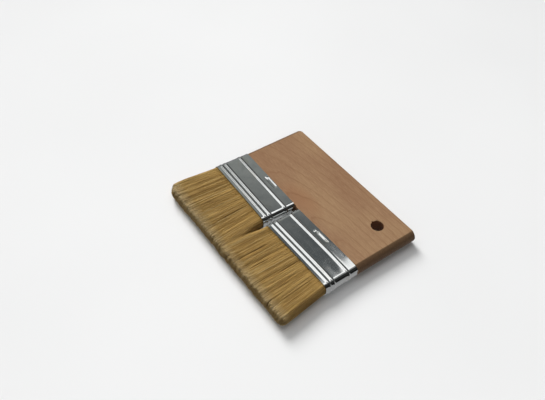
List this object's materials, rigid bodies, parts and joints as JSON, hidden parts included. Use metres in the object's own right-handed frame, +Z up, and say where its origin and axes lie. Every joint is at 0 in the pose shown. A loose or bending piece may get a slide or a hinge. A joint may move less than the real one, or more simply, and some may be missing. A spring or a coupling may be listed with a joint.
{
  "type": "paint brush",
  "caption": "Wide flat paint brush: a short wooden board with a hanging hole, staked into tinplate ferrules side by side that hold natural bristle, trimmed square.",
  "frame": {"origin": "under the middle of the whole brush's box, on the surface that it lies on", "axes": "+X across the brush's width towards the side with the hanging hole, +Y from the bristle tips towards the far edge of the board, +Z up through the brush's thickness"},
  "size_m": [0.1578, 0.1336, 0.0129],
  "materials": {
    "beech": "satin",
    "tinplate": "polished",
    "bristle": "satin",
    "pine": "matte",
    "resin": "gloss"
  },
  "bodies": {
    "root": {"handle_board": "beech", "ferrule_left": "tinplate", "resin_left": "resin", "filler_strip_left": "pine", "bristles_left_upper": "bristle", "bristles_left_lower": "bristle", "ferrule_right": "tinplate", "resin_right": "resin", "filler_strip_right": "pine", "bristles_right_upper": "bristle", "bristles_right_lower": "bristle"}
  },
  "joints": []
}
